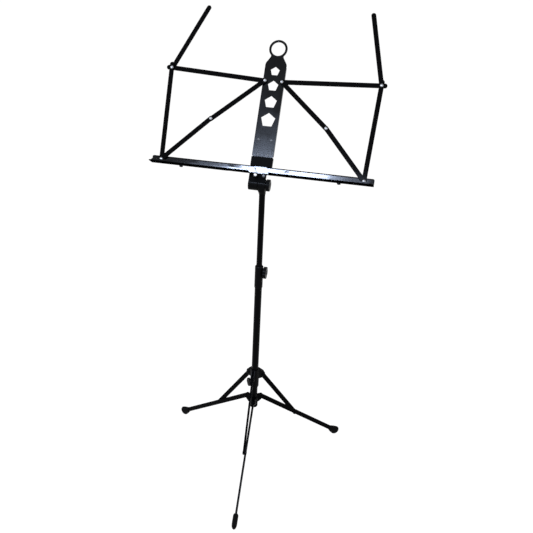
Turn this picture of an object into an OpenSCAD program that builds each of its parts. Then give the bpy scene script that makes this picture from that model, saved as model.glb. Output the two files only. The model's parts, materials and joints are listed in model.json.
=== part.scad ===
// Folding sheet-music stand: tripod base, two-section mast, tilting desk of hinged flat bars.
// Millimetres. Z is up, the player stands at -Y and X runs along the desk.
// Desk parts are drawn in the desk's own frame: u along X, v up the desk, w out to the player.

/* [Mast] */
// Height of the tilt axis above the floor
tilt_z = 759; // [740:1:770]
// Outer diameter of the lower tube
lower_d = 16.8; // [16:0.1:17]
// Wall of both tubes
tube_wall = 0.9; // [0.8:0.05:1]
// Top of the lower tube above the floor
lower_top = 555; // [550:1:560]
// Outer diameter of the upper tube
upper_d = 13.5; // [13:0.1:13.6]
// Length of the upper tube
upper_len = 390; // [360:1:394]
// Outer diameter of the height collar
collar_d = 19; // [18.8:0.1:19.6]
// Length of the height collar below the tube's top
collar_drop = 46; // [40:1:52]
// Diameter of the height knob
height_knob_d = 27.5; // [22:0.5:29]

/* [Tripod] */
// Length from a leg's pivot to the centre of its foot's tip
leg_reach = 287; // [276:1:296]
// Angle of an opened leg below the horizontal
leg_drop = 38; // [36:0.5:40]
// Height of a leg bar
leg_w = 11.25; // [9.5:0.25:11.5]
// Thickness of a leg bar and a brace bar
leg_t = 4.2; // [3:0.1:4.4]
// Distance of the leg pivots from the mast's axis
hub_r = 19.8; // [19.5:0.1:21]
// Distance of the brace pivots from the mast's axis
crown_r = 17.8; // [17.5:0.1:19]
// Height of the brace pivots above the leg pivots
crown_lift = 72.6; // [69:0.2:76]
// Place of the brace's pivot along the leg, as a ratio of leg_reach
brace_ratio = 0.43; // [0.42:0.005:0.44]
// Turn of the tripod about the mast against the desk
tripod_turn = 3.2; // [-6:0.2:6]
// Diameter of the slider knob
crown_knob_d = 21; // [17:0.5:22]
// Height of a rubber foot at its tip
foot_d = 24; // [22:0.5:25]
// Width of a rubber foot
foot_w = 12.6; // [11:0.2:14]
// Length of a rubber foot
foot_len = 36; // [32:1:42]

/* [Desk frame] */
// Lean of the desk back from the vertical
lean = 31.8; // [20:0.2:45]
// Offset of the desk's centre line from the mast
desk_shift = -6.1; // [-6.4:0.1:-5.8]
// Width of the flat bars
bar_w = 10.2; // [9:0.1:10.4]
// Thickness of the flat bars
bar_t = 2; // [1.8:0.1:2]
// Length of a top arm between its pivots
arm_len = 209.3; // [195:0.5:215]
// Rise of the opened top arms above the horizontal
arm_rise = 3; // [2.6:0.1:3.4]
// Length of an upright between its pivots
upright_len = 204; // [196:0.5:208]
// Lean of the uprights off the vertical
upright_lean = 2.6; // [2.4:0.1:2.7]
// Bar left over past the pivots at the outer top corners
arm_over = 12; // [10:0.5:14]
// Bend left at the left knee when the desk is open
knee_left = 4; // [1:0.1:7]
// Bend left at the right knee when the desk is open
knee_right = 7.5; // [1:0.1:9]
// How much longer the upper stay is than the lower one
knee_diff = 3; // [2:0.1:4]
// Length of a horn from its pivot to the centre of its tip
horn_len = 154; // [120:1:158]
// Inward lean of the left horn
horn_lean_left = 23.4; // [0:0.2:40]
// Inward lean of the right horn
horn_lean_right = 13.6; // [0:0.2:40]

/* [Centre plate] */
// Half width of the centre plate
plate_half = 23.2; // [22.8:0.1:23.6]
// Thickness of the plate and its bracket
plate_t = 1.5; // [1.2:0.1:1.5]
// Length of the moulded cover between the trays and the plate's foot
cover_len = 20.4; // [19.8:0.2:21.6]
// Height of the plate's shoulders above the arm pivots
plate_over = 40.1; // [37.1:0.2:43.1]
// Half distance between the arm pivots on the plate
arm_pivot_u = 18.2; // [18:0.1:18.4]
// Height of the tray studs above the tilt axis
stud_v = 16.1; // [15.7:0.1:16.7]
// Outer radius of the hanging ring
ring_r = 20; // [18.5:0.1:20.4]
// Width of the ring's band
ring_band = 5; // [4:0.1:6]
// Number of pentagon holes up the plate
holes = 4; // [1:1:4]
// Height of the lowest pentagon hole above the plate's lower edge
hole_low = 79.8; // [75:0.2:82.6]
// Corner radius of the lowest pentagon hole
hole_r = 15.9; // [12:0.1:16.5]
// Size of each pentagon hole against the one below it
hole_shrink = 0.86; // [0.8:0.01:0.88]
// Metal left between two pentagon holes
hole_gap = 12.2; // [9:0.1:12.6]

/* [Tray] */
// Sheet thickness of the tray
tray_t = 1.2; // [1:0.1:1.2]
// Depth of the shelf in front of the flange
shelf_d = 28; // [26:0.5:32]
// Height of the flange over the shelf's underside
flange_h = 16.4; // [16:0.1:17]
// Drop of the shelf's underside below the tray rivets
shelf_drop = 8.9; // [8.7:0.1:9.3]
// Height of the shelf's front lip
lip_h = 3.4; // [3:0.1:3.6]
// Tray left over past the tray rivets
tray_over = 21.4; // [18:0.2:24]
// Wire diameter of the page clips
wire_d = 2.4; // [2:0.1:2.5]
// Place of the clip pins from the centre line
clip_u = 168.5; // [165:0.5:178]
// Length of a page clip
clip_len = 115; // [100:1:118]

/* [Tilt head] */
// Diameter of the mast's tilt hub
tilt_d = 23.4; // [22:0.2:24]
// Diameter of the desk's lug beside it
lug_d = 26.5; // [25:0.5:28]
// Diameter of the tilt bolt
bolt_d = 6; // [5:0.1:6]
// Diameter of the tilt knob
tilt_knob_d = 25.5; // [22:0.5:27]

/* [Fits] */
// Radial clearance of turning and sliding fits
run = 0.05; // [0.03:0.01:0.08]
// Radial clearance of parts fixed to each other
fix = 0.02; // [0.01:0.01:0.03]
// Gap between bars that pass each other
gap = 0.3; // [0.25:0.01:0.32]
// Shank diameter of the bar rivets
rivet_d = 4; // [3.6:0.1:4.2]
// Head diameter of the bar rivets
head_d = 6.8; // [6.2:0.1:7]
// Height of the rivet heads
head_h = 1.3; // [1:0.1:1.4]

/* [Hidden] */
$fn = 48;
black = [0.035, 0.035, 0.04];
steel = [0.78, 0.78, 0.8];
rubber = [0.07, 0.07, 0.07];
plastic = [0.05, 0.05, 0.055];

// mast
lower_id = lower_d - 2 * tube_wall;
upper_id = upper_d - 2 * tube_wall;
head_drop = 21;
tube_in = 8;
upper_top = tilt_z - tube_in;
upper_low = upper_top - upper_len;
bush_len = 26;
bush_d = lower_id - 2 * run;
bush_flange = 2;
cap_top = lower_top + 10;
collar_low = lower_top - collar_drop;
height_screw_z = lower_top - 6.5;
height_knob_x = collar_d / 2 + 0.9;
end_len = 8;
screw_d = 5;

// tripod
foot_r = foot_d / 2;
hub_z = foot_r + leg_reach * sin(leg_drop);
hub_low = hub_z - 23.5;
hub_top = hub_z + 6;
lower_low = hub_low + 1.5;
crown_z = hub_z + crown_lift;
crown_low = crown_z - 34;
crown_top = crown_z + 18;
crown_d = lower_d + 4.4;
crown_knob_x = crown_d / 2 + 0.9;
crown_screw_z = crown_z - 20;
crown_screw_a = 210;
side = leg_t / 2 + gap / 2;
cheek_t = 2.2;
cheek_gap = 0.15;
leg_a = [-90, 30, 150];
brace_x = hub_r + brace_ratio * leg_reach * cos(leg_drop);
brace_z = hub_z - brace_ratio * leg_reach * sin(leg_drop);
brace_len = norm([brace_x - crown_r, brace_z - crown_z]);
brace_drop = atan2(crown_z - brace_z, brace_x - crown_r);
leg_end = leg_reach - 2;
joint_head = 0.7;

// desk layers, front of the plate first
plate_w = 14;
face_w = plate_w + plate_t;
pitch = bar_t + gap;
w1 = face_w + gap;
w2 = w1 + pitch;
w3 = w2 + pitch;
w0 = w1 - pitch;
tray_w = w1 + bar_t - tray_t;
tray_w_left = tray_w + tray_t + gap;

// desk pivots, right side
pc = [arm_pivot_u, stud_v + upright_len * cos(upright_lean)];
po = pc + arm_len * [cos(arm_rise), sin(arm_rise)];
pb = po + upright_len * [-sin(upright_lean), -cos(upright_lean)];
pd = pc + pb - po;
shelf_v = pb[1] - shelf_drop;
flange_top = shelf_v + flange_h;
tray_half = pb[0] + tray_over;
cover_low = flange_top + 0.8;
plate_low = cover_low + cover_len + 0.4;
plate_high = pc[1] + plate_over;
upright_a = -90 - upright_lean;
brace_span = norm(pb - pc);
stay_dir = atan2(pb[1] - pc[1], pb[0] - pc[0]);

// stay lengths from the knee's bend at rest
function stay_sum(k) =
    sqrt((pow(brace_span, 2) - pow(knee_diff, 2) * (1 - cos(k)) / 2) * 2 / (1 + cos(k)));
function stay_up(k) = (stay_sum(k) + knee_diff) / 2;
function stay_lo(k) = (stay_sum(k) - knee_diff) / 2;
function corner(a, b, c) = acos((a * a + b * b - c * c) / (2 * a * b));
function stay_a(k) = stay_dir + corner(stay_up(k), brace_span, stay_lo(k));
function knee(k) = pc + stay_up(k) * [cos(stay_a(k)), sin(stay_a(k))];

// each pentagon hole stands a set gap above the point of the one below it
function hole_v(i) = i == 0 ? plate_low + hole_low
    : hole_v(i - 1) + hole_gap + hole_r * pow(hole_shrink, i - 1) * (1 + hole_shrink * cos(36));

// bracket and tilt hubs
bracket_w = plate_w - plate_t;
lug_left = -29.5;
hub_left = -9;
hub_right = 7.2;
bolt_head = 3.8;
knob_x = hub_right + 1.3;
tilt_knob_h = 8;
bracket_low = pd[1] - 14;
bracket_up = 41;
lug_rivet = [[-5, pd[1] - 8.4], [-15.6, pd[1] + 9.4]];
plate_rivet = [for (q = [[9.5, 37.2], [12.4, 5.2]], m = [-1, 1])
    [m * (plate_half - q[0]), plate_low + q[1]]];
cover_peg = [for (m = [-1, 1]) [m * 15, (cover_low + plate_low) / 2]];

// folded, a shelf starts where it clears the other tray's flange
fold = 80;
flange_up = flange_top - pd[1];
shelf_up = shelf_v + tray_t - pd[1];
shelf_in = pd[0] + 2 * gap + ((flange_up + shelf_up) * tan(fold) - 2 * pd[0] / cos(fold)
    + (flange_up - shelf_up) / tan(fold)) / 2;
clip_w = tray_w + shelf_d / 2;
clip_v = shelf_v + lip_h + wire_d / 2 + 0.3;
ear_len = 30;
step_at = 58;
step_run = 6;
eye_r = 2;

// the footprint's centre is the origin
front_y = -(hub_r + leg_reach * cos(leg_drop) + foot_r) * cos(tripod_turn);
horn_top = po[1] + horn_len * cos(horn_lean_right) + bar_w / 2;
back_y = horn_top * sin(lean) - w0 * cos(lean);
origin = [desk_shift, (front_y + back_y) / 2, 0];

// ---- frames ----

module mast() {
    translate(-origin) children();
}

module at_leg(i) {
    mast() rotate([0, 0, leg_a[i] + tripod_turn]) children();
}

// x = u, y = -w, z = v
module desk() {
    mast() translate([desk_shift, 0, tilt_z]) rotate([-lean, 0, 0]) children();
}

// a flat shape in the desk's plane, from w to w + t
module sheet(w, t) {
    translate([0, -w, 0]) rotate([90, 0, 0]) linear_extrude(t) children();
}

// the same, turned about a point of the desk's plane
module sheet_at(p, a, w, t) {
    translate([p[0], -w, p[1]]) rotate([90, 0, 0]) rotate([0, 0, a]) linear_extrude(t) children();
}

// a flat shape in a leg's plane, x out, y up, between two lateral places
module upright_sheet(y0, y1) {
    translate([0, y1, 0]) rotate([90, 0, 0]) linear_extrude(y1 - y0) children();
}

// ---- shared shapes ----

module tube(d, id, z0, z1) {
    translate([0, 0, z0]) difference() {
        cylinder(d = d, h = z1 - z0);
        translate([0, 0, -1]) cylinder(d = id, h = z1 - z0 + 2);
    }
}

module strap(len, width, over_a, over_b, hole_a, hole_b) {
    difference() {
        union() {
            translate([width / 2 - over_a, 0]) circle(d = width);
            translate([len + over_b - width / 2, 0]) circle(d = width);
            translate([width / 2 - over_a, -width / 2]) square([len + over_a + over_b - width, width]);
        }
        if (hole_a > 0) circle(d = hole_a);
        if (hole_b > 0) translate([len, 0]) circle(d = hole_b);
    }
}

// domed head standing on z = 0
module dome(d, h) {
    big = (d * d / 4 + h * h) / (2 * h);
    rotate_extrude() intersection() {
        translate([0, h - big]) circle(r = big, $fn = 96);
        square([d / 2, h]);
    }
}

// rivet along w with a domed front head and a flat tail
module rivet(p, w_tail, w_back, w_front, tail_d, d) {
    translate([p[0], -w_back, p[1]]) rotate([90, 0, 0]) cylinder(d = d, h = w_front - w_back);
    translate([p[0], -w_front, p[1]]) rotate([90, 0, 0]) dome(head_d, head_h);
    translate([p[0], -w_tail, p[1]]) rotate([90, 0, 0]) cylinder(d = tail_d, h = w_back - w_tail);
}

// lobed clamping knob on z = 0, with its screw pointing down
module knob(d, h, lobes, shank_d, shank_l, bore) {
    difference() {
        union() {
            linear_extrude(h) difference() {
                circle(d = d);
                for (i = [0:lobes - 1]) rotate([0, 0, (i + 0.5) * 360 / lobes])
                    translate([d * 0.62, 0]) circle(d = d * 0.34);
            }
            translate([0, 0, h]) dome(d * 0.5, 1.2);
            if (shank_l > 0) translate([0, 0, -shank_l]) cylinder(d = shank_d, h = shank_l + 1);
        }
        if (bore > 0) translate([0, 0, -1]) cylinder(d = bore, h = h - 0.5);
    }
}

// ---- base ----

module lower_tube() color(black) mast() difference() {
    tube(lower_d, lower_id, lower_low, lower_top);
    translate([0, 0, height_screw_z]) rotate([0, 90, 0]) cylinder(d = screw_d + 0.6, h = lower_d);
}

module tube_plug() color(plastic) mast() {
    translate([0, 0, lower_low]) cylinder(d = lower_id - 2 * fix, h = 12);
    translate([0, 0, hub_low]) cylinder(d = lower_d - 1, h = lower_low - hub_low);
}

// pair of cheeks that carries a bar between them
module cheeks(y, outline_r) {
    t0 = y - leg_t / 2 - cheek_gap - cheek_t;
    t1 = y + leg_t / 2 + cheek_gap;
    for (t = [t0, t1]) upright_sheet(t, t + cheek_t) difference() {
        children();
        translate([outline_r, 0]) circle(d = rivet_d + 2 * fix);
    }
}

module leg_hub() color(black) difference() {
    union() {
        mast() translate([0, 0, hub_low]) cylinder(d = lower_d + 3.4, h = hub_top - hub_low);
        for (i = [0:2]) at_leg(i) translate([0, 0, hub_z]) cheeks(side, hub_r) union() {
            translate([hub_r, 0]) circle(d = 11.6);
            polygon([[lower_d / 2 - 1, 5.8], [hub_r, 5.8], [hub_r + 4.6, 3.4], [hub_r + 4.6, -3.4],
                [12.6, -14], [lower_d / 2 - 1, -14]]);
        }
    }
    mast() translate([0, 0, hub_low - 1]) cylinder(d = lower_d + 2 * fix, h = hub_top - hub_low + 2);
}

// pin through two cheeks, heads outside
module cross_pin(r, z, y) {
    half = leg_t / 2 + cheek_gap + cheek_t;
    translate([r, y + half, z]) rotate([90, 0, 0]) cylinder(d = rivet_d, h = 2 * half);
    translate([r, y + half + 1, z]) rotate([90, 0, 0]) cylinder(d = 6.6, h = 1);
    translate([r, y - half, z]) rotate([90, 0, 0]) cylinder(d = 6.6, h = 1);
}

module hub_pins() color(black) for (i = [0:2]) at_leg(i) cross_pin(hub_r, hub_z, side);

module height_collar() color(plastic) mast() difference() {
    union() {
        rotate_extrude() polygon([
            [lower_d / 2 + fix, collar_low], [collar_d / 2 - 0.6, collar_low],
            [collar_d / 2, collar_low + 1.5], [collar_d / 2, cap_top - 2],
            [collar_d / 2 - 1.6, cap_top], [upper_d / 2 + 0.35, cap_top],
            [upper_d / 2 + 0.35, lower_top + bush_flange + 0.3],
            [lower_d / 2 + fix, lower_top + bush_flange + 0.3]
        ]);
        translate([lower_d / 2 + 0.5, 0, height_screw_z]) rotate([0, 90, 0])
            cylinder(d = 12, h = height_knob_x - lower_d / 2 - 0.7);
    }
    translate([0, 0, height_screw_z]) rotate([0, 90, 0]) cylinder(d = screw_d + 2 * run, h = collar_d);
}

module height_knob() color(plastic) mast()
    translate([height_knob_x, 0, height_screw_z]) rotate([0, 90, 0])
        knob(height_knob_d, 7.4, 5, screw_d, height_knob_x - lower_id / 2 - 0.5, 0);

// ---- slider ----

module at_crown_screw() {
    mast() rotate([0, 0, crown_screw_a + tripod_turn]) translate([0, 0, crown_screw_z])
        rotate([0, 90, 0]) children();
}

module crown() color(plastic) difference() {
    union() {
        mast() translate([0, 0, crown_low]) cylinder(d = crown_d, h = crown_top - crown_low);
        at_crown_screw() cylinder(d = 10, h = crown_knob_x - 0.2);
        for (i = [0:2]) at_leg(i) translate([0, 0, crown_z]) cheeks(-side, crown_r) polygon([
            [lower_d / 2 - 1, 18], [crown_d / 2 + 0.6, 18], [crown_r + 5.6, 6.6], [crown_r + 7.4, 2],
            [crown_r + 6.6, -4], [crown_r + 2.6, -9], [lower_d / 2 - 1, -10.6]
        ]);
    }
    mast() translate([0, 0, crown_low - 1])
        cylinder(d = lower_d + 2 * run, h = crown_top - crown_low + 2);
    at_crown_screw() cylinder(d = screw_d + 2 * run, h = 20);
}

module crown_pins() color(black) for (i = [0:2]) at_leg(i) cross_pin(crown_r, crown_z, -side);

module crown_knob() color(plastic) at_crown_screw() translate([0, 0, crown_knob_x])
    knob(crown_knob_d, 5.6, 5, screw_d, crown_knob_x - lower_d / 2 - 0.15, 0);

// ---- legs ----

module leg(i) color(black) at_leg(i) translate([hub_r, 0, hub_z]) rotate([0, leg_drop, 0]) {
    upright_sheet(side - leg_t / 2, side + leg_t / 2) difference() {
        union() {
            circle(d = leg_w);
            translate([0, -leg_w / 2]) square([leg_end - 4, leg_w]);
            translate([leg_end - 4.01, -leg_w / 2 + 1]) square([4.01, leg_w - 2]);
        }
        circle(d = rivet_d + 2 * run);
    }
    // the leg's half of the brace rivet
    translate([brace_ratio * leg_reach, side + leg_t / 2 + joint_head, 0]) rotate([90, 0, 0])
        cylinder(d = head_d, h = joint_head + 0.5);
}

module leg_front() leg(0);
module leg_right() leg(1);
module leg_left() leg(2);

module foot(i) color(rubber) at_leg(i) translate([hub_r, side, hub_z]) rotate([0, leg_drop, 0])
    difference() {
        hull() {
            translate([leg_reach, 0, 0]) scale([1, foot_w / foot_d, 1]) sphere(d = foot_d, $fn = 40);
            translate([leg_reach - foot_r * 0.7, 0, 0]) scale([1, foot_w / foot_d, 1])
                sphere(d = foot_d - 3, $fn = 30);
            translate([leg_reach + foot_r + 6.2 - foot_len, 0, 0]) scale([1, 0.9, 1])
                sphere(d = leg_w + 3, $fn = 30);
        }
        translate([leg_end - foot_len, -leg_t / 2 - fix, -leg_w / 2 - fix])
            cube([foot_len + fix, leg_t + 2 * fix, leg_w + 2 * fix]);
    }

module foot_front() foot(0);
module foot_right() foot(1);
module foot_left() foot(2);

module brace(i) color(black) at_leg(i) translate([crown_r, 0, crown_z]) rotate([0, brace_drop, 0]) {
    upright_sheet(-side - leg_t / 2, -side + leg_t / 2)
        strap(brace_len, leg_w, leg_w / 2, leg_w / 2, rivet_d + 2 * run, 0);
    // the brace's half of its lower rivet
    translate([brace_len, -side - leg_t / 2 + 0.5, 0]) rotate([90, 0, 0])
        cylinder(d = head_d, h = joint_head + 0.5);
}

module brace_front() brace(0);
module brace_right() brace(1);
module brace_left() brace(2);

// ---- upper mast ----

module guide_bush() color(plastic) mast() {
    tube(bush_d, upper_d + 2 * run, lower_top - bush_len, lower_top + 0.5);
    tube(lower_d - 0.6, upper_d + 2 * run, lower_top + 0.15, lower_top + bush_flange);
}

module upper_tube() color(black) mast() tube(upper_d, upper_id, upper_low, upper_top);

module tube_end() color(plastic) mast() {
    translate([0, 0, upper_low]) cylinder(d = upper_id - 2 * fix, h = 14);
    translate([0, 0, upper_low - end_len]) cylinder(d = lower_id - 2 * run, h = end_len);
}

// a turned neck runs out into the hub, flat at the hub's two faces
module mast_head() color(plastic) mast() translate([0, 0, tilt_z]) difference() {
    union() {
        translate([hub_left, 0, 0]) rotate([0, 90, 0]) cylinder(d = tilt_d, h = hub_right - hub_left);
        intersection() {
            rotate_extrude() polygon([[0, -head_drop], [upper_d / 2 + 0.7, -head_drop],
                [upper_d / 2 + 1, -head_drop + 3], [10.6, -12.5], [10.6, -4], [0, -4]]);
            translate([hub_left, -15, -head_drop]) cube([hub_right - hub_left, 30, head_drop]);
        }
    }
    translate([0, 0, -head_drop - 1]) cylinder(d = upper_d + 2 * fix, h = head_drop + 1 - tube_in);
    translate([hub_left - 1, 0, 0]) rotate([0, 90, 0])
        cylinder(d = bolt_d + 2 * run, h = hub_right - hub_left + 2);
}

// ---- tilt joint ----

// frame on the tilt axis, leaning with the desk
module tilt() {
    mast() translate([0, 0, tilt_z]) rotate([-lean, 0, 0]) children();
}

module tilt_lug() color(plastic) tilt() difference() {
    translate([lug_left, 0, 0]) {
        rotate([0, 90, 0]) cylinder(d = lug_d, h = hub_left - gap - lug_left);
        mirror([0, 1, 0]) rotate([90, 0, 90]) linear_extrude(hub_left - gap - lug_left)
            polygon([[-9, 8], [5, pd[1] + 11], [bracket_w, pd[1] + 14], [bracket_w, 3.4], [8, -7]]);
    }
    // the bracket's sheet lies on the lug's flat
    translate([lug_left - 1, -bracket_w - 20, bracket_low - 0.3]) cube([30, 20, 60]);
    translate([lug_left - 1, 0, 0]) rotate([0, 90, 0]) cylinder(d = bolt_d + 2 * fix, h = 30);
    translate([lug_left - 1, 0, 0]) rotate([0, 90, 0])
        cylinder(d = bolt_d * 1.9 + 0.2, h = bolt_head + 1, $fn = 6);
    for (q = lug_rivet) translate([q[0] + desk_shift, -bracket_w - 1, q[1]]) rotate([-90, 0, 0])
        cylinder(d = 3 + 2 * fix, h = 9);
}

module tilt_bolt() color(steel) tilt() {
    translate([lug_left, 0, 0]) rotate([0, 90, 0])
        cylinder(d = bolt_d * 1.9, h = bolt_head, $fn = 6);
    translate([lug_left + bolt_head - 0.5, 0, 0]) rotate([0, 90, 0])
        cylinder(d = bolt_d, h = knob_x + tilt_knob_h - 1.4 - lug_left - bolt_head);
}

module tilt_washer() color(steel) tilt() translate([hub_right + 0.1, 0, 0]) rotate([0, 90, 0])
    tube(14, bolt_d + 0.3, 0, 1);

module tilt_knob() color(plastic) tilt() translate([knob_x, 0, 0]) rotate([0, 90, 0])
    knob(tilt_knob_d, tilt_knob_h, 6, 0, 0, bolt_d + 2 * run);

// ---- bracket and centre plate ----

// the lower end is wide over the lug and narrow beside the knob
module desk_bracket() color(black) desk() difference() {
    inner = plate_half - plate_t - 0.2;
    lip = plate_low - 0.4;
    back_top = lip + bracket_up;
    union() {
        sheet(bracket_w, plate_t) polygon([
            [-21.6, bracket_low + 2], [-19.6, bracket_low], [12.2, bracket_low],
            [14.2, bracket_low + 2], [14.2, pd[1] + 2], [18.3, pd[1] + 6], [18.3, pd[1] + 13],
            [plate_half, pd[1] + 18], [plate_half, lip], [inner, lip], [inner, back_top],
            [inner - 6, back_top + 6], [6 - inner, back_top + 6], [-inner, back_top], [-inner, lip],
            [-plate_half, lip], [-plate_half, pd[1] + 18], [-21.6, pd[1] + 13]
        ]);
        for (m = [0, 1]) mirror([m, 0, 0])
            translate([plate_half - plate_t, -bracket_w - plate_t, pd[1] + 18.6])
                cube([plate_t, 7, lip - pd[1] - 18.6]);
    }
    for (q = concat(plate_rivet, lug_rivet, cover_peg)) translate([q[0], 0, q[1]])
        rotate([90, 0, 0]) cylinder(d = 3 + 2 * fix, h = 40);
    for (m = [-1, 1]) translate([m * pd[0], 0, pd[1]]) rotate([90, 0, 0])
        cylinder(d = 5 + 2 * fix, h = 40);
}

// moulded cover between the plate's foot and the trays, pegged into the bracket
module bracket_cover() color(plastic) desk() {
    half = plate_half + 0.3;
    sheet(plate_w, tray_w - 0.5 - plate_w) polygon([
        [-half, cover_low + 1.5], [1.5 - half, cover_low], [half - 1.5, cover_low],
        [half, cover_low + 1.5], [half, plate_low - 0.4], [-half, plate_low - 0.4]
    ]);
    for (q = cover_peg) translate([q[0], -bracket_w, q[1]]) rotate([90, 0, 0])
        cylinder(d = 3, h = plate_t + 1);
}

// small button-headed rivet along w
module small_rivet(q, w_back, w_front) {
    translate([q[0], -w_back, q[1]]) rotate([90, 0, 0]) cylinder(d = 3, h = w_front - w_back);
    translate([q[0], -w_front, q[1]]) rotate([90, 0, 0]) dome(5.4, 1);
}

module lug_rivets() color(steel) desk()
    for (q = lug_rivet) small_rivet(q, bracket_w - 7, bracket_w + plate_t);

module plate_rivets() color(steel) desk() for (q = plate_rivet) {
    small_rivet(q, bracket_w, face_w);
    translate([q[0], -bracket_w + 1, q[1]]) rotate([90, 0, 0]) cylinder(d = 4.6, h = 1);
}

module plate_outline() {
    neck = 13.8;
    ring_v = plate_high + ring_r + 11.9;
    meet = sqrt(ring_r * ring_r - neck * neck);
    difference() {
        union() {
            polygon([[-plate_half, plate_low + 2], [2 - plate_half, plate_low],
                [plate_half - 2, plate_low], [plate_half, plate_low + 2],
                [plate_half, plate_high - 3], [plate_half - 1.2, plate_high + 1],
                [neck + 1, plate_high + 12.2], [neck, plate_high + 14.6],
                [neck, ring_v - meet], [-neck, ring_v - meet],
                [-neck, plate_high + 14.6], [-neck - 1, plate_high + 12.2],
                [1.2 - plate_half, plate_high + 1], [-plate_half, plate_high - 3]]);
            translate([0, ring_v]) circle(r = ring_r, $fn = 96);
        }
        translate([0, ring_v]) circle(r = ring_r - ring_band, $fn = 96);
        for (i = [0:holes - 1]) translate([0, hole_v(i)]) rotate([0, 0, 90])
            circle(r = hole_r * pow(hole_shrink, i), $fn = 5);
        for (q = plate_rivet) translate(q) circle(d = 3 + 2 * fix);
        for (m = [-1, 1]) translate([m * pc[0], pc[1]]) circle(d = rivet_d + 2 * fix);
    }
}

module centre_plate() color(black) desk() {
    sheet(plate_w, plate_t) plate_outline();
    for (m = [0, 1]) mirror([m, 0, 0]) translate([plate_half - plate_t, -plate_w - 0.5, plate_low + 3])
        cube([plate_t, 5.5, plate_high - plate_low - 10]);
}

module arm_rivets() color(steel) desk() for (m = [-1, 1])
    rivet([m * pc[0], pc[1]], plate_w - 0.8, plate_w, w2 + bar_t + 0.12, rivet_d + 0.4, rivet_d);

// shouldered studs that carry the two trays at their own levels
module tray_studs() color(steel) desk() for (m = [-1, 1]) {
    seat = (m > 0 ? tray_w : tray_w_left) - 0.1;
    translate([m * pd[0], -bracket_w, pd[1]]) rotate([90, 0, 0]) cylinder(d = 5, h = plate_t + 0.5);
    translate([m * pd[0], -plate_w, pd[1]]) rotate([90, 0, 0]) cylinder(d = 8, h = seat - plate_w);
    translate([m * pd[0], -seat + 0.5, pd[1]]) rotate([90, 0, 0])
        cylinder(d = 5, h = tray_t + 0.2 + 0.6);
    translate([m * pd[0], -seat - tray_t - 0.2, pd[1]]) rotate([90, 0, 0]) dome(head_d, head_h);
}

// ---- hinged bars ----

module side_of(right) {
    desk() mirror([right ? 0 : 1, 0, 0]) children();
}

module top_arm(right) color(black) side_of(right) sheet_at(pc, arm_rise, w1, bar_t)
    strap(arm_len, bar_w, bar_w / 2, arm_over, rivet_d + 2 * run, rivet_d + 2 * fix);

module outer_rivet(right) color(steel) side_of(right)
    rivet(po, w0 - 1.2, w0 - 0.12, w2 + bar_t + 0.12, head_d, rivet_d);

module upright(right) color(black) side_of(right) sheet_at(po, upright_a, w2, bar_t)
    strap(upright_len, bar_w, arm_over, bar_w / 2, rivet_d + 2 * run, rivet_d + 2 * run);

module stay_upper(right) color(black) side_of(right) {
    k = right ? knee_right : knee_left;
    sheet_at(pc, stay_a(k), w2, bar_t)
        strap(stay_up(k), bar_w, bar_w / 2, bar_w / 2 + 0.6, rivet_d + 2 * run, 0);
}

module stay_lower(right) color(black) side_of(right) {
    k = right ? knee_right : knee_left;
    m = knee(k);
    a = atan2(m[1] - pb[1], m[0] - pb[0]);
    sheet_at(pb, a, w3, bar_t)
        strap(stay_lo(k), bar_w, bar_w / 2, bar_w / 2 + 0.6, rivet_d + 2 * run, rivet_d + 2 * fix);
}

// the lower stay's half of the knee rivet, flush behind so the stays can pass
module knee_rivet(right) color(steel) side_of(right) {
    m = knee(right ? knee_right : knee_left);
    translate([m[0], -w3 - 0.05, m[1]]) rotate([90, 0, 0]) cylinder(d = rivet_d, h = bar_t);
    translate([m[0], -w3 - bar_t, m[1]]) rotate([90, 0, 0]) dome(head_d, head_h);
}

module horn(right) color(black) side_of(right)
    sheet_at(po, 90 + (right ? horn_lean_right : horn_lean_left), w0, bar_t)
        strap(horn_len, bar_w, bar_w / 2, bar_w / 2, rivet_d + 2 * run, 0);

// ---- trays ----

// flange with its ear, drawn from the tray's pivot outwards
module flange(from, to) {
    difference() {
        union() {
            if (from <= 0) {
                translate(pd) circle(d = 12);
                polygon([pd + [-1, 5.9], [pd[0] + 5, flange_top], [pd[0] + ear_len, flange_top],
                    [pd[0] + ear_len, shelf_v], [pd[0] + 6, shelf_v], pd + [1, -5.9]]);
            }
            translate([pd[0] + max(from, 6), shelf_v])
                square([min(to, tray_half - pd[0] - 3) - max(from, 6), flange_h]);
            if (to > tray_half - pd[0] - 3) translate([tray_half - 3.01, shelf_v])
                square([3.01, flange_h - 3]);
            if (to > tray_half - pd[0] - 3) translate([tray_half - 3, flange_top - 3]) circle(r = 3);
        }
        translate(pd) circle(d = 5 + 2 * run);
        translate(pb) circle(d = rivet_d + 2 * fix);
    }
}

// shelf seen from above: x = u, y = w
module shelf_plan(w_in, from) {
    difference() {
        union() {
            translate([from, w_in]) square([tray_half - 8 - from, tray_w + shelf_d - w_in]);
            translate([tray_half - 8.01, w_in]) square([8.01, tray_w + shelf_d - 8 - w_in]);
            translate([tray_half - 8, tray_w + shelf_d - 8]) circle(r = 8);
        }
        translate([clip_u, clip_w]) circle(d = wire_d + 2 * run);
    }
}

// plan shapes carried up the desk: x = u, y = w
module plan(v0, h) {
    translate([0, 0, v0]) mirror([0, 1, 0]) linear_extrude(h) children();
}

module shelf(w_in, from) {
    plan(shelf_v, tray_t) shelf_plan(w_in, from);
    plan(shelf_v, lip_h) translate([from + 3, tray_w + shelf_d - tray_t])
        square([tray_half - 11 - from, tray_t]);
}

module tray_right() color(black) side_of(true) {
    sheet(tray_w, tray_t) flange(0, tray_half - pd[0]);
    shelf(tray_w + tray_t / 2, shelf_in);
}

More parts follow.
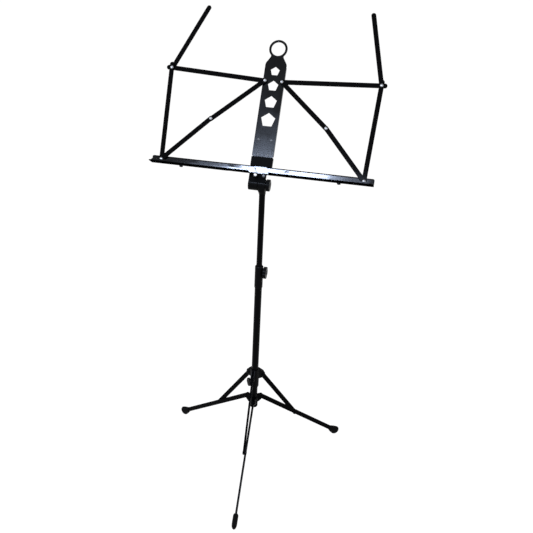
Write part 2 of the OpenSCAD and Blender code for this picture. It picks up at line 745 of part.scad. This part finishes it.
// the left half steps forward near the centre, to lap over the right one when folded
module tray_left() color(black) side_of(false) {
    near = pd[0] + step_at;
    far = near + step_run;
    sheet(tray_w_left, tray_t) flange(0, step_at);
    sheet(tray_w, tray_t) flange(step_at + step_run, tray_half - pd[0]);
    plan(shelf_v, flange_h) polygon([
        [near - 0.5, tray_w_left], [near - 0.5, tray_w_left + tray_t],
        [near, tray_w_left + tray_t], [far, tray_w + tray_t],
        [far + 0.5, tray_w + tray_t], [far + 0.5, tray_w],
        [far, tray_w], [near, tray_w_left]
    ]);
    shelf(tray_w_left + tray_t / 2, shelf_in);
    plan(shelf_v, tray_t) translate([far, tray_w + tray_t / 2])
        square([tray_half - far, 3]);
}

module tray_rivet(right) color(steel) side_of(right)
    rivet(pb, tray_w - 1, tray_w, w3 + bar_t + 0.12, head_d, rivet_d);

// wire clip on a pin through the shelf
module page_clip(right) color(steel) side_of(right) translate([clip_u, -clip_w, 0]) {
    run_len = clip_len - eye_r - wire_d / 2;
    translate([0, 0, shelf_v - 6]) cylinder(d = wire_d, h = clip_v - shelf_v + 6);
    translate([0, 0, shelf_v - 5.2]) cylinder(d = 7.6, h = 5);
    translate([0, 0, clip_v]) sphere(d = wire_d, $fn = 24);
    translate([0, 0, clip_v]) rotate([0, 0, 180]) {
        rotate([0, 90, 0]) cylinder(d = wire_d, h = run_len);
        translate([run_len, 0, eye_r]) rotate([90, 0, 0]) rotate([0, 0, -90])
            rotate_extrude(angle = 180) translate([eye_r, 0]) circle(d = wire_d);
        translate([run_len - 6, 0, 2 * eye_r]) rotate([0, 90, 0]) cylinder(d = wire_d, h = 6);
        translate([run_len - 6, 0, 2 * eye_r]) sphere(d = wire_d, $fn = 24);
    }
}

module top_arm_right() top_arm(true);
module top_arm_left() top_arm(false);
module outer_rivet_right() outer_rivet(true);
module outer_rivet_left() outer_rivet(false);
module upright_right() upright(true);
module upright_left() upright(false);
module stay_upper_right() stay_upper(true);
module stay_upper_left() stay_upper(false);
module stay_lower_right() stay_lower(true);
module stay_lower_left() stay_lower(false);
module knee_rivet_right() knee_rivet(true);
module knee_rivet_left() knee_rivet(false);
module horn_right() horn(true);
module horn_left() horn(false);
module tray_rivet_right() tray_rivet(true);
module tray_rivet_left() tray_rivet(false);
module page_clip_right() page_clip(true);
module page_clip_left() page_clip(false);

// ---- drawing ----

lower_tube();
tube_plug();
leg_hub();
hub_pins();
height_collar();
height_knob();
crown();
crown_pins();
crown_knob();
leg_front();
leg_right();
leg_left();
foot_front();
foot_right();
foot_left();
brace_front();
brace_right();
brace_left();
guide_bush();
upper_tube();
tube_end();
mast_head();
tilt_lug();
tilt_bolt();
tilt_washer();
tilt_knob();
desk_bracket();
bracket_cover();
lug_rivets();
centre_plate();
plate_rivets();
arm_rivets();
tray_studs();
top_arm_right();
top_arm_left();
outer_rivet_right();
outer_rivet_left();
upright_right();
upright_left();
tray_right();
tray_left();
tray_rivet_right();
tray_rivet_left();
stay_upper_right();
stay_upper_left();
stay_lower_right();
stay_lower_left();
knee_rivet_right();
knee_rivet_left();
horn_right();
horn_left();
page_clip_right();
page_clip_left();
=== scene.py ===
import json
import math

import bmesh
import bpy
from mathutils import Matrix, Vector


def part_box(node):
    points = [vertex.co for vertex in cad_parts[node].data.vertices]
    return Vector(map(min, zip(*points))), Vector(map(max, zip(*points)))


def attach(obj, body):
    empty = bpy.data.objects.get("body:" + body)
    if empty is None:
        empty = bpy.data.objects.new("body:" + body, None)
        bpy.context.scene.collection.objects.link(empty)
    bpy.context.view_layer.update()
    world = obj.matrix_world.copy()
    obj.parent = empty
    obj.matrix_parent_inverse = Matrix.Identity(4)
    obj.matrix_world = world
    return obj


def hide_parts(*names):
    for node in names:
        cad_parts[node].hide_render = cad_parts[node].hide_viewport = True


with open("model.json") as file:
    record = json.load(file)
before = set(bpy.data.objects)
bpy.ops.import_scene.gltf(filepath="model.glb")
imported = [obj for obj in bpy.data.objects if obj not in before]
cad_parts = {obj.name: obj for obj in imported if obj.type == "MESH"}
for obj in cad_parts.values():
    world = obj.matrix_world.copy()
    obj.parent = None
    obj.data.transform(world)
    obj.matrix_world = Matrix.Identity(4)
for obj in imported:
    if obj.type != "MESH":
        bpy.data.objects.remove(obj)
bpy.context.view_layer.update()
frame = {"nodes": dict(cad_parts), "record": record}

# ---- Mast tubes ----
# Two drawn steel tubes, 16.8 mm and 13.5 mm across, that slide one in the other.
# They are sprayed with black enamel and stoved, which leaves a gloss with a faint orange peel.


def linear(hex_code):
    """An sRGB hex colour as the linear colour that a shader takes."""
    channels = [int(hex_code[i : i + 2], 16) / 255 for i in (1, 3, 5)]
    return [c / 12.92 if c <= 0.04045 else ((c + 0.055) / 1.055) ** 2.4 for c in channels] + [1.0]


def add_node(tree, kind, inputs=None, **settings):
    """A node with its settings, and its inputs set to values or linked to (node, output) pairs."""
    made = tree.nodes.new(kind)
    for name, value in settings.items():
        setattr(made, name, value)
    for name, value in (inputs or {}).items():
        if isinstance(value, tuple) and isinstance(value[0], bpy.types.Node):
            tree.links.new(value[0].outputs[value[1]], made.inputs[name])
        else:
            made.inputs[name].default_value = value
    return made


def new_material(name):
    """A material with an empty node tree, and that tree."""
    material = bpy.data.materials.new(name)
    material.use_nodes = True
    material.node_tree.nodes.clear()
    return material, material.node_tree


# the colour sockets of a Mix node go by number
MIX_A, MIX_B, MIX_RESULT = 6, 7, 2


def enamel(name, colour, gloss, sheen=0.06, skin=0.0, peel=0.05):
    """Stoved enamel: an orange peel, patches of handling that dull the gloss, and fine dust.

    gloss is the roughness of clean paint, sheen how strongly it mirrors, skin how much of a
    mirror-smooth top layer it flowed out to, and peel how high the orange peel stands.
    """
    patch_mm, peel_mm = 35, 2.2
    dust_mm = 0.9  # real dust is too fine to show, so it is drawn coarser
    material, tree = new_material(name)
    place = add_node(tree, "ShaderNodeTexCoord")
    patches = add_node(tree, "ShaderNodeTexNoise", {
        "Vector": (place, "Object"), "Scale": 1000 / patch_mm, "Detail": 4.0, "Roughness": 0.6})
    dulled = add_node(tree, "ShaderNodeMapRange", {
        "Value": (patches, "Fac"), "From Min": 0.35, "From Max": 0.7,
        "To Min": 0.85 * gloss, "To Max": 1.3 * gloss})
    orange_peel = add_node(tree, "ShaderNodeTexNoise", {
        "Vector": (place, "Object"), "Scale": 1000 / peel_mm, "Detail": 1.0})
    bump = add_node(tree, "ShaderNodeBump", {
        "Height": (orange_peel, "Fac"), "Strength": peel, "Distance": 0.0004})
    dust = add_node(tree, "ShaderNodeTexNoise", {
        "Vector": (place, "Object"), "Scale": 1000 / dust_mm, "Detail": 2.0})
    speck = add_node(tree, "ShaderNodeMapRange", {
        "Value": (dust, "Fac"), "From Min": 0.66, "From Max": 0.78, "To Min": 0.0, "To Max": 0.3})
    paint = add_node(tree, "ShaderNodeMix", {
        0: (speck, "Result"), MIX_A: linear(colour), MIX_B: linear("#1d1e20")}, data_type="RGBA")
    shader = add_node(tree, "ShaderNodeBsdfPrincipled", {
        "Base Color": (paint, MIX_RESULT), "Roughness": (dulled, "Result"),
        "Normal": (bump, "Normal"), "IOR": 1.5, "Specular IOR Level": sheen})
    if skin:
        shader.inputs["Coat Weight"].default_value = skin
        shader.inputs["Coat Roughness"].default_value = 0.05
        tree.links.new(bump.outputs["Normal"], shader.inputs["Coat Normal"])
    add_node(tree, "ShaderNodeOutputMaterial", {"Surface": (shader, "BSDF")})
    return material


def body_of_node(name):
    """The moving body that a node belongs to."""
    bodies = frame["record"]["behaviour"]["bodies"]
    return next(body for body, members in bodies.items() if name in members)


def soften(name, material, edge_mm, segments=2, others=(), splits=()):
    """A copy of a node whose cut edges are eased, as a tumbled or painted edge is.

    others are further materials, each with a test of a face's centre and normal that says where
    it goes. splits are planes, as a point and a normal, that part the faces for them.
    """
    same_point, on_plane = 2e-6, 1e-6
    flat_within, edge_from = math.radians(0.6), math.radians(32)
    bm = bmesh.new()
    bm.from_mesh(frame["nodes"][name].data)
    bmesh.ops.remove_doubles(bm, verts=bm.verts, dist=same_point)
    bmesh.ops.dissolve_limit(
        bm, angle_limit=flat_within, verts=bm.verts, edges=bm.edges, delimit={"NORMAL"})
    for point, across in splits:
        bmesh.ops.bisect_plane(
            bm, geom=bm.verts[:] + bm.edges[:] + bm.faces[:], dist=on_plane,
            plane_co=point, plane_no=across)
    for face in bm.faces:
        face.smooth = True
        for index, (_, belongs) in enumerate(others, start=1):
            if belongs(face.calc_center_median(), face.normal):
                face.material_index = index
    mesh = bpy.data.meshes.new(name + "_eased")
    bm.to_mesh(mesh)
    bm.free()
    piece = bpy.data.objects.new(name + "_eased", mesh)
    bpy.context.scene.collection.objects.link(piece)
    mesh.materials.append(material)
    for other, _ in others:
        mesh.materials.append(other)
    bevel = piece.modifiers.new("edges", "BEVEL")
    bevel.width = edge_mm / 1000
    bevel.segments = segments
    bevel.limit_method = "ANGLE"
    bevel.angle_limit = edge_from
    bevel.use_clamp_overlap = False
    # flat faces keep their own normals, so that only the eased edges catch the light
    bevel.face_strength_mode = "FSTR_ALL"
    flat = piece.modifiers.new("flat_faces", "WEIGHTED_NORMAL")
    flat.keep_sharp = True
    flat.use_face_influence = True
    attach(piece, body_of_node(name))
    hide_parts(name)


# stoved enamel on drawn tube: deep black, with thin clear highlights along the tube
tube_enamel = enamel("stoved_black_enamel", "#030304", 0.07, sheen=0.035)
for tube in ("lower_tube", "upper_tube"):
    soften(tube, tube_enamel, 0.25)

# ---- Tripod ----
# Hub and slider hold the legs and braces between cheeks. The bars are blanked from 4 mm strip
# and enamelled; the slider and the plugs are moulded in black polypropylene, the feet in rubber.


def moulded(name, colour, roughness, grain_mm, grain=0.12, gleam=0.08):
    """Moulded plastic or rubber: a spark-eroded grain, and wear that polishes or dulls it.

    The real grain is too fine to show, so grain_mm is drawn coarser. grain is how high it
    stands, and gleam how strongly the surface mirrors.
    """
    wear_mm, wear_range = 18, 0.08
    material, tree = new_material(name)
    place = add_node(tree, "ShaderNodeTexCoord")
    wear = add_node(tree, "ShaderNodeTexNoise", {
        "Vector": (place, "Object"), "Scale": 1000 / wear_mm, "Detail": 5.0, "Roughness": 0.65})
    rough = add_node(tree, "ShaderNodeMapRange", {
        "Value": (wear, "Fac"), "From Min": 0.3, "From Max": 0.7,
        "To Min": roughness - wear_range, "To Max": roughness + wear_range})
    tint = add_node(tree, "ShaderNodeMix", {
        0: (wear, "Fac"), MIX_A: linear(colour), MIX_B: linear("#0d0d0e")}, data_type="RGBA")
    texture = add_node(tree, "ShaderNodeTexNoise", {
        "Vector": (place, "Object"), "Scale": 1000 / grain_mm, "Detail": 2.0})
    bump = add_node(tree, "ShaderNodeBump", {
        "Height": (texture, "Fac"), "Strength": grain, "Distance": 0.0003})
    shader = add_node(tree, "ShaderNodeBsdfPrincipled", {
        "Base Color": (tint, MIX_RESULT), "Roughness": (rough, "Result"),
        "Normal": (bump, "Normal"), "IOR": 1.49, "Specular IOR Level": gleam})
    add_node(tree, "ShaderNodeOutputMaterial", {"Surface": (shader, "BSDF")})
    return material


# enamel sprayed on blanked strip: black, with a softer gloss than the tubes have
leg_enamel = enamel("stoved_black_enamel_on_legs", "#030304", 0.34, sheen=0.015)
# injection-moulded polypropylene: black, with a low and soft gleam on its rounded edges
black_polypropylene = moulded("moulded_black_polypropylene", "#030304", 0.34, 0.7, gleam=0.04)
# compression-moulded rubber: dead black and coarser grained, and it hardly mirrors
black_rubber = moulded("moulded_black_rubber", "#040404", 0.66, 0.9, grain=0.2, gleam=0.035)

soften("leg_hub", leg_enamel, 0.3)
soften("crown", black_polypropylene, 0.4, segments=3)
soften("tube_plug", black_polypropylene, 0.5)
soften("crown_knob", black_polypropylene, 0.6, segments=3)
for place in ("front", "right", "left"):
    soften("leg_" + place, leg_enamel, 0.35)
    soften("brace_" + place, leg_enamel, 0.35)
    soften("foot_" + place, black_rubber, 0.4)
for pins in ("hub_pins", "crown_pins"):
    soften(pins, leg_enamel, 0.2)

# ---- Height clamp ----
# A moulded collar is pressed on the lower tube and holds the bush that guides the upper one.
# A lobed knob on its side clamps the bush.
for clamp in ("height_collar", "height_knob"):
    soften(clamp, black_polypropylene, 0.6, segments=3)
for sleeve in ("guide_bush", "tube_end"):
    soften(sleeve, black_polypropylene, 0.3)

# ---- Tilt head ----
# The head on the mast and the lug on the desk are moulded, and are one hinge on a zinc-plated
# bolt that a lobed knob pulls tight.


def plated(name, colour, roughness):
    """Zinc plated on steel, with the fine directionless lines of barrel polishing."""
    line_mm = 0.5  # the real lines are too fine to show, so they are drawn coarser
    material, tree = new_material(name)
    place = add_node(tree, "ShaderNodeTexCoord")
    lines = add_node(tree, "ShaderNodeTexNoise", {
        "Vector": (place, "Object"), "Scale": 1000 / line_mm, "Detail": 6.0, "Roughness": 0.7})
    rough = add_node(tree, "ShaderNodeMapRange", {
        "Value": (lines, "Fac"), "From Min": 0.3, "From Max": 0.7,
        "To Min": roughness - 0.06, "To Max": roughness + 0.12})
    bump = add_node(tree, "ShaderNodeBump", {
        "Height": (lines, "Fac"), "Strength": 0.08, "Distance": 0.0002})
    shader = add_node(tree, "ShaderNodeBsdfPrincipled", {
        "Base Color": linear(colour), "Metallic": 1.0, "Roughness": (rough, "Result"),
        "Normal": (bump, "Normal")})
    add_node(tree, "ShaderNodeOutputMaterial", {"Surface": (shader, "BSDF")})
    return material


# fresh zinc: small bright heads that stand out from the black
bright_zinc = plated("bright_zinc_on_steel", "#919397", 0.28)
for hub in ("mast_head", "tilt_lug", "tilt_knob"):
    soften(hub, black_polypropylene, 0.6, segments=3)
for fitting in ("tilt_bolt", "tilt_washer"):
    soften(fitting, bright_zinc, 0.15)

# ---- Desk: bracket and centre plate ----
# Both are pressed from 1.5 mm steel, the plate with its sides turned back, and riveted together.
# A moulded cover hides their joint, and two shouldered studs carry the trays.
lean = math.radians(31.8)
down_the_desk = Vector((0, -math.sin(lean), -math.cos(lean)))
to_player = Vector((0, -math.cos(lean), math.sin(lean)))
sideways = Vector((1, 0, 0))
stud_low, stud_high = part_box("tray_studs")
studs = (stud_low + stud_high) / 2

# hands on the clamp dull the paint from a little above the studs down, as wide as the ears
dulled_above_studs, ear_half = 0.0048, 0.0205
dulled_edge = studs - dulled_above_studs * down_the_desk
edge_split = [(dulled_edge, down_the_desk)]
ear_splits = [(studs + side * ear_half * sideways, sideways) for side in (-1, 1)]


def by_the_studs(centre, normal):
    """The zone below the dulled edge."""
    return (centre - dulled_edge).dot(down_the_desk) > 0


def by_the_ears(centre, normal):
    """The part of that zone that is no wider than the ears."""
    return by_the_studs(centre, normal) and abs(centre.x - studs.x) < ear_half


def on_the_right(centre, normal):
    """The right one of the two studs."""
    return centre.x > studs.x


# enamel that flowed out on flat sheet: blue-black, with a thin skin that mirrors a lamp sharply
desk_enamel = enamel("stoved_black_enamel_on_sheet", "#030405", 0.155, skin=0.13, peel=0.008)
# the same enamel dulled by hands: plain black, and a lamp leaves no glare on it
dull_enamel = enamel("handled_black_enamel", "#030304", 0.6, sheen=0.03)
# polypropylene from a coarsely eroded mould: matt black
matt_polypropylene = moulded("eroded_black_polypropylene", "#040405", 0.66, 0.5, gleam=0.03)
# zinc drawn darker grey: on the plate's rivets, and as painted shade on the right tray stud
# zinc drawn pale, with less gloss: a painted highlight on the left tray stud
grey_zinc_and_painted_shade = plated("grey_zinc_on_steel_and_painted_shade", "#5a5d62", 0.42)
pale_zinc_painted_highlight = plated("zinc_on_steel_painted_highlight", "#c9cbce", 0.5)

soften("desk_bracket", desk_enamel, 0.25, others=[(dull_enamel, by_the_studs)], splits=edge_split)
soften("centre_plate", desk_enamel, 0.25)
soften("bracket_cover", matt_polypropylene, 0.5, segments=3)
soften("arm_rivets", bright_zinc, 0.12)
soften("plate_rivets", grey_zinc_and_painted_shade, 0.12)
soften("lug_rivets", dull_enamel, 0.12)
# the two studs are one part: the left is drawn pale as a painted highlight, the right grey as
# painted shade
soften("tray_studs", pale_zinc_painted_highlight, 0.12, others=[(grey_zinc_and_painted_shade, on_the_right)])

# ---- Desk: hinged bars ----
# Flat steel strip, blanked with round ends, pierced, and enamelled with the tubes.
# The bars hang on rivets that are headed after painting, so these stay bright.
for hand in ("right", "left"):
    for bar in ("top_arm_", "upright_", "stay_upper_", "stay_lower_", "horn_"):
        soften(bar + hand, tube_enamel, 0.3)
    for rivet in ("outer_rivet_", "tray_rivet_", "knee_rivet_"):
        soften(rivet + hand, bright_zinc, 0.12)

# ---- Trays and page clips ----
# Each half tray is folded from 1.2 mm sheet, with a hem pressed along the flange's top edge, and
# sprayed from in front, so that only a matt mist of enamel reaches its underside. A bent wire on
# a pin holds the pages to it.


def mist(name, colour):
    """Overspray that never flowed out: dead matt and gritty, with no gloss at any angle."""
    grit_mm = 0.8  # the real grit is too fine to show, so it is drawn coarser
    material, tree = new_material(name)
    place = add_node(tree, "ShaderNodeTexCoord")
    grit = add_node(tree, "ShaderNodeTexNoise", {
        "Vector": (place, "Object"), "Scale": 1000 / grit_mm, "Detail": 3.0})
    rough = add_node(tree, "ShaderNodeMapRange", {
        "Value": (grit, "Fac"), "To Min": 0.8, "To Max": 1.0})
    bump = add_node(tree, "ShaderNodeBump", {
        "Height": (grit, "Fac"), "Strength": 0.2, "Distance": 0.0003})
    tint = add_node(tree, "ShaderNodeMix", {
        0: (grit, "Fac"), MIX_A: linear(colour), MIX_B: linear("#141415")}, data_type="RGBA")
    shader = add_node(tree, "ShaderNodeBsdfPrincipled", {
        "Base Color": (tint, MIX_RESULT), "Roughness": (rough, "Result"),
        "Normal": (bump, "Normal"), "Specular IOR Level": 0.0})
    add_node(tree, "ShaderNodeOutputMaterial", {"Surface": (shader, "BSDF")})
    return material


def faces_down(centre, normal):
    """The undersides of the sheet."""
    return normal.dot(down_the_desk) > 0.9


def hem_line(tray, below_mm):
    """The middle line of a hem: the corners of the flange's top edge, set a little below it."""
    corners = [v.co.copy() for v in frame["nodes"][tray].data.vertices]
    highest = min(corner.dot(down_the_desk) for corner in corners)
    stations = {}
    for corner in corners:
        if corner.dot(down_the_desk) < highest + 0.0001:
            stations.setdefault(round(corner.x, 4), []).append(corner)
    below = below_mm / 1000 * down_the_desk
    return [sum(group, below * len(group)) / len(group) for _, group in sorted(stations.items())]


def hem(hand, half_high_mm, half_thick_mm, below_mm, material):
    """A pressed hem: a flat bead with rounded edges, swept along the flange of a tray."""
    name, tray = "tray_hem_" + hand, "tray_" + hand
    line = hem_line(tray, below_mm)
    bm = bmesh.new()
    bmesh.ops.create_circle(bm, segments=16, radius=1.0)
    for corner in bm.verts:
        up, out = (math.copysign(math.sqrt(abs(part)), part) for part in corner.co.xy)
        corner.co = (line[0] - up * half_high_mm / 1000 * down_the_desk
                     + out * half_thick_mm / 1000 * to_player)
    rim = bm.edges[:]
    for here, there in zip(line, line[1:]):
        swept = bmesh.ops.extrude_edge_only(bm, edges=rim)["geom"]
        corners = [item for item in swept if isinstance(item, bmesh.types.BMVert)]
        bmesh.ops.translate(bm, vec=there - here, verts=corners)
        rim = [item for item in swept if isinstance(item, bmesh.types.BMEdge) and item.is_boundary]
    for face in bm.faces:
        face.smooth = True
    bmesh.ops.holes_fill(bm, edges=bm.edges)
    bmesh.ops.recalc_face_normals(bm, faces=bm.faces)
    mesh = bpy.data.meshes.new(name)
    bm.to_mesh(mesh)
    bm.free()
    piece = bpy.data.objects.new(name, mesh)
    bpy.context.scene.collection.objects.link(piece)
    mesh.materials.append(material)
    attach(piece, body_of_node(tray))


# a dry spray of enamel: dark grey-black without any gloss
matt_mist = mist("matt_black_overspray", "#08080a")
# enamel dipped on bent wire: black, with a soft and broad highlight
satin_enamel = enamel("satin_black_enamel_on_wire", "#030304", 0.42)
for hand in ("right", "left"):
    soften("tray_" + hand, desk_enamel, 0.25,
           others=[(matt_mist, faces_down), (dull_enamel, by_the_ears)],
           splits=edge_split + ear_splits)
    hem(hand, half_high_mm=1.25, half_thick_mm=0.74, below_mm=1.1, material=dull_enamel)
    soften("page_clip_" + hand, satin_enamel, 0.1)

# ---- Studio ----
# A white floor and white surroundings, under three large soft lamps.
# A long strip lamp stands where the trays mirror it to the camera.


def seen_directly(tree, strength):
    """The strength for the eye and for mirror images, and 0 for the light itself."""
    ray = add_node(tree, "ShaderNodeLightPath")
    seen = add_node(tree, "ShaderNodeMath", {
        0: (ray, "Is Camera Ray"), 1: (ray, "Is Glossy Ray")}, operation="MAXIMUM")
    through = add_node(tree, "ShaderNodeMath", {
        0: (seen, "Value"), 1: (ray, "Is Transmission Ray")}, operation="MAXIMUM")
    return add_node(tree, "ShaderNodeMath", {
        0: (through, "Value"), 1: strength}, operation="MULTIPLY")


def floor_paint():
    """White to the eye and in mirror images, and a plain grey floor to the light itself."""
    material, tree = new_material("pale_studio_floor")
    matt = add_node(tree, "ShaderNodeBsdfDiffuse", {"Color": linear("#4a4a4a")})
    glow = add_node(tree, "ShaderNodeEmission", {
        "Color": linear("#ffffff"), "Strength": (seen_directly(tree, 1.0), "Value")})
    both = add_node(tree, "ShaderNodeAddShader", {0: (matt, "BSDF"), 1: (glow, "Emission")})
    add_node(tree, "ShaderNodeOutputMaterial", {"Surface": (both, "Shader")})
    return material


floor_half = 40
floor_bm = bmesh.new()
bmesh.ops.create_grid(floor_bm, x_segments=1, y_segments=1, size=floor_half)
floor_mesh = bpy.data.meshes.new("studio_floor")
floor_bm.to_mesh(floor_mesh)
floor_bm.free()
floor = bpy.data.objects.new("studio_floor", floor_mesh)
bpy.context.scene.collection.objects.link(floor)
floor_mesh.materials.append(floor_paint())

world = bpy.data.worlds.new("studio")
bpy.context.scene.world = world
world.use_nodes = True
sky = world.node_tree
sky.nodes.clear()
white_to_the_eye, dim_to_the_light = 1.0, 0.25
room = add_node(sky, "ShaderNodeMath", {
    0: (seen_directly(sky, white_to_the_eye), "Value"), 1: dim_to_the_light}, operation="MAXIMUM")
backdrop = add_node(sky, "ShaderNodeBackground", {
    "Color": linear("#ffffff"), "Strength": (room, "Value")})
add_node(sky, "ShaderNodeOutputWorld", {"Surface": (backdrop, "Background")})

# the camera's place is given from the middle of the mast on the floor
mast_low, mast_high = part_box("lower_tube")
mast_foot = Vector(((mast_low.x + mast_high.x) / 2, (mast_low.y + mast_high.y) / 2, 0))
camera_place = mast_foot + Vector((0.2655, -1.3136, 1.2672))
azimuth, elevation, roll = (math.radians(a) for a in (10.72, 27.71, 2.68))
lens = bpy.data.cameras.new("view")
lens.sensor_width = 36.0
lens.lens = 45.16
lens.clip_end = 100
camera = bpy.data.objects.new("view", lens)
camera.matrix_world = (
    Matrix.Translation(camera_place)
    @ Matrix.Rotation(azimuth, 4, "Z")
    @ Matrix.Rotation(math.pi / 2 - elevation, 4, "X")
    @ Matrix.Rotation(roll, 4, "Z")
)
bpy.context.scene.collection.objects.link(camera)
bpy.context.scene.camera = camera


def softbox(name, place, target, width, height, watts, colour="#ffffff"):
    """A soft lamp with a rectangular face, aimed at a target."""
    lamp = bpy.data.lights.new(name, "AREA")
    lamp.shape = "RECTANGLE"
    lamp.size, lamp.size_y = width, height
    lamp.energy = watts
    lamp.color = linear(colour)[:3]
    holder = bpy.data.objects.new(name, lamp)
    aim = (Vector(target) - Vector(place)).to_track_quat("-Z", "Y")
    holder.matrix_world = Matrix.Translation(place) @ aim.to_matrix().to_4x4()
    bpy.context.scene.collection.objects.link(holder)


# the middle of the strip's mirror image lies on the trays, a little above their hinge studs
glint_above_studs, strip_distance, strip_shift, strip_height = 0.0105, 2.5, 0.11, 0.05
glint = studs - glint_above_studs * down_the_desk
to_eye = (camera_place - glint).normalized()
mirrored = 2 * to_player.dot(to_eye) * to_player - to_eye
strip_place = glint + strip_distance * mirrored + strip_shift * sideways
strip_aim = (strip_place.x, glint.y, glint.z)
# its light falls off towards both ends: strips of growing width lie over one another
for width, watts in ((0.58, 31), (0.66, 9), (0.74, 6), (0.82, 3.4), (0.92, 2.6), (1.04, 3)):
    softbox("tray_strip_%d_mm" % (1000 * width), strip_place, strip_aim, width, strip_height,
            watts, "#d0e0ff")
softbox("key", (-2.6, -1.5, 2.8), (0, 0, 0.5), 2.0, 2.0, 55)
softbox("fill", (2.2, -1.2, 1.6), (0, 0, 0.5), 2.0, 2.0, 22)
softbox("rim", (0.6, 2.2, 2.2), (0, 0, 0.6), 2.0, 1.4, 20)

bpy.context.scene.view_settings.view_transform = "Standard"
